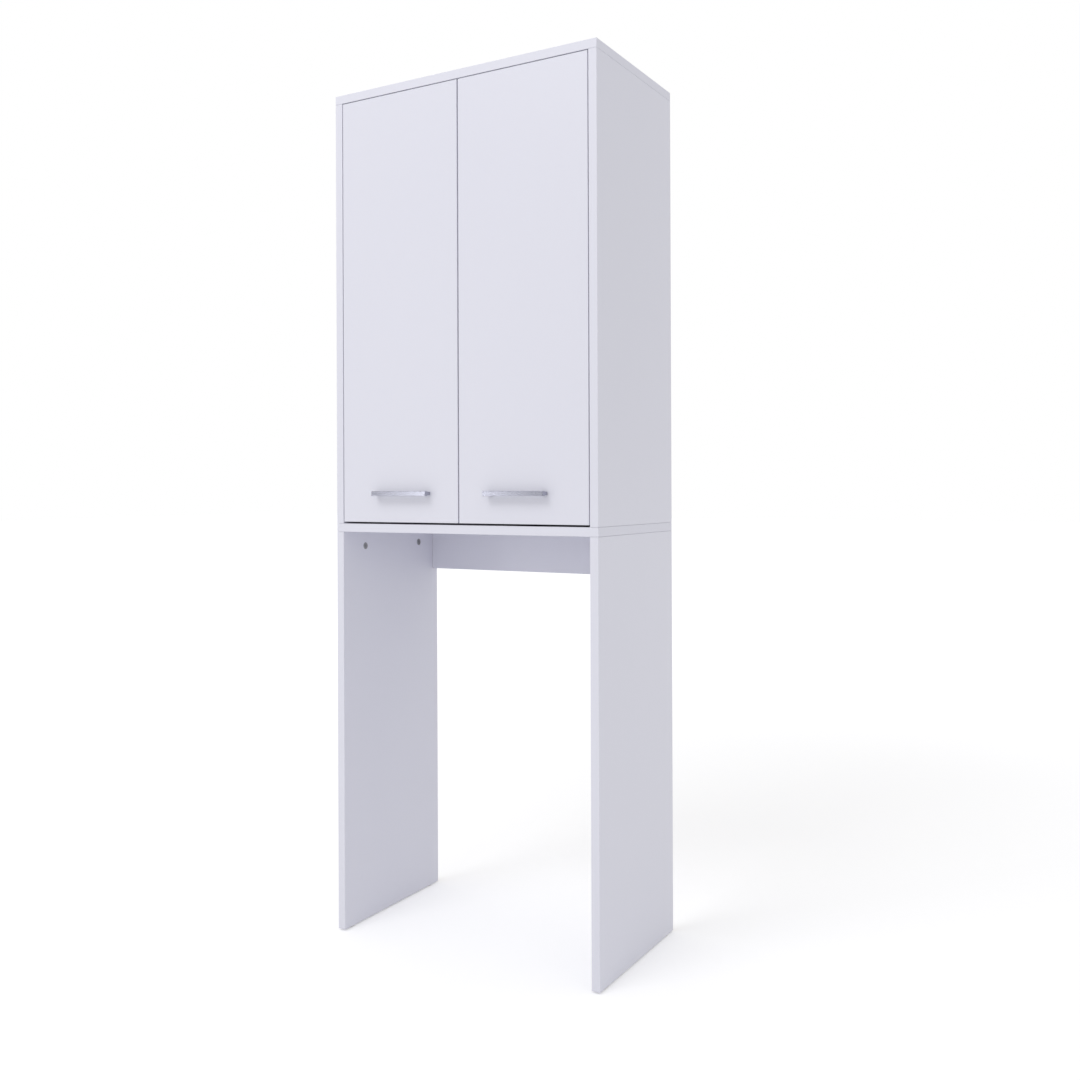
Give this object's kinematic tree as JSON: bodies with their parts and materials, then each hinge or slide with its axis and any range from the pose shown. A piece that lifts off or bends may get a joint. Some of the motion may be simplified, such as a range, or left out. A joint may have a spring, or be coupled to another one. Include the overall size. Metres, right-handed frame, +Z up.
{
  "type": "bathroom cabinet",
  "caption": "Tall white bathroom cabinet: a cupboard with inset doors, bar handles and shelves inside, carried on leg panels over an open bay for a front-loading machine.",
  "frame": {"origin": "on the floor under the middle of the whole object, handles included", "axes": "+Z up, +X to the right of someone facing the doors, -Y out of the doors, +Y to the wall"},
  "size_m": [0.64, 0.37, 1.82],
  "materials": {
    "white_laminate": "satin white laminate on board",
    "door_laminate": "satin white laminate on board",
    "back_board": "white lacquered hardboard",
    "handle_aluminium": "satin brushed",
    "fitting_steel": "nickel plated",
    "cam_zinc": "cast zinc",
    "glide_plastic": "moulded"
  },
  "bodies": {
    "carcass": {"top_panel": "white_laminate", "bottom_panel": "white_laminate", "side_panel_left": "white_laminate", "side_panel_right": "white_laminate", "leg_panel_left": "white_laminate", "leg_panel_right": "white_laminate", "rear_rail": "white_laminate", "back_panel": "back_board", "shelf_lower": "white_laminate", "shelf_upper": "white_laminate", "hinge_arm_left_lower": "fitting_steel", "hinge_arm_left_upper": "fitting_steel", "hinge_arm_right_lower": "fitting_steel", "hinge_arm_right_upper": "fitting_steel", "hinge_plate_left_lower": "fitting_steel", "hinge_plate_left_upper": "fitting_steel", "hinge_plate_right_lower": "fitting_steel", "hinge_plate_right_upper": "fitting_steel", "shelf_pin_lower_left_front": "fitting_steel", "shelf_pin_lower_left_rear": "fitting_steel", "shelf_pin_lower_right_front": "fitting_steel", "shelf_pin_lower_right_rear": "fitting_steel", "shelf_pin_upper_left_front": "fitting_steel", "shelf_pin_upper_left_rear": "fitting_steel", "shelf_pin_upper_right_front": "fitting_steel", "shelf_pin_upper_right_rear": "fitting_steel", "top_screw_left_front": "fitting_steel", "top_screw_left_rear": "fitting_steel", "top_screw_right_front": "fitting_steel", "top_screw_right_rear": "fitting_steel", "cam_bolt_left_front": "fitting_steel", "cam_bolt_left_rear": "fitting_steel", "cam_bolt_right_front": "fitting_steel", "cam_bolt_right_rear": "fitting_steel", "cam_lock_left_front": "cam_zinc", "cam_lock_left_rear": "cam_zinc", "cam_lock_right_front": "cam_zinc", "cam_lock_right_rear": "cam_zinc", "wall_hanger_left": "fitting_steel", "wall_hanger_right": "fitting_steel", "glide_left_front": "glide_plastic", "glide_left_rear": "glide_plastic", "glide_right_front": "glide_plastic", "glide_right_rear": "glide_plastic"},
    "left_door": {"left_door": "door_laminate", "left_handle": "handle_aluminium", "handle_screw_left_a": "fitting_steel", "handle_screw_left_b": "fitting_steel", "hinge_cup_left_lower": "fitting_steel", "hinge_cup_left_upper": "fitting_steel", "hinge_pin_left_lower": "fitting_steel", "hinge_pin_left_upper": "fitting_steel"},
    "right_door": {"right_door": "door_laminate", "right_handle": "handle_aluminium", "handle_screw_right_a": "fitting_steel", "handle_screw_right_b": "fitting_steel", "hinge_cup_right_lower": "fitting_steel", "hinge_cup_right_upper": "fitting_steel", "hinge_pin_right_lower": "fitting_steel", "hinge_pin_right_upper": "fitting_steel"}
  },
  "joints": [
    {"name": "left_door_hinge", "type": "hinge", "parent": "carcass", "child": "left_door", "pos_m": [-0.28, -0.1565, 1.346], "axis": [0, 0, -1], "range_deg": [0, 95]},
    {"name": "right_door_hinge", "type": "hinge", "parent": "carcass", "child": "right_door", "pos_m": [0.28, -0.1565, 1.346], "axis": [0, 0, 1], "range_deg": [0, 95]}
  ]
}
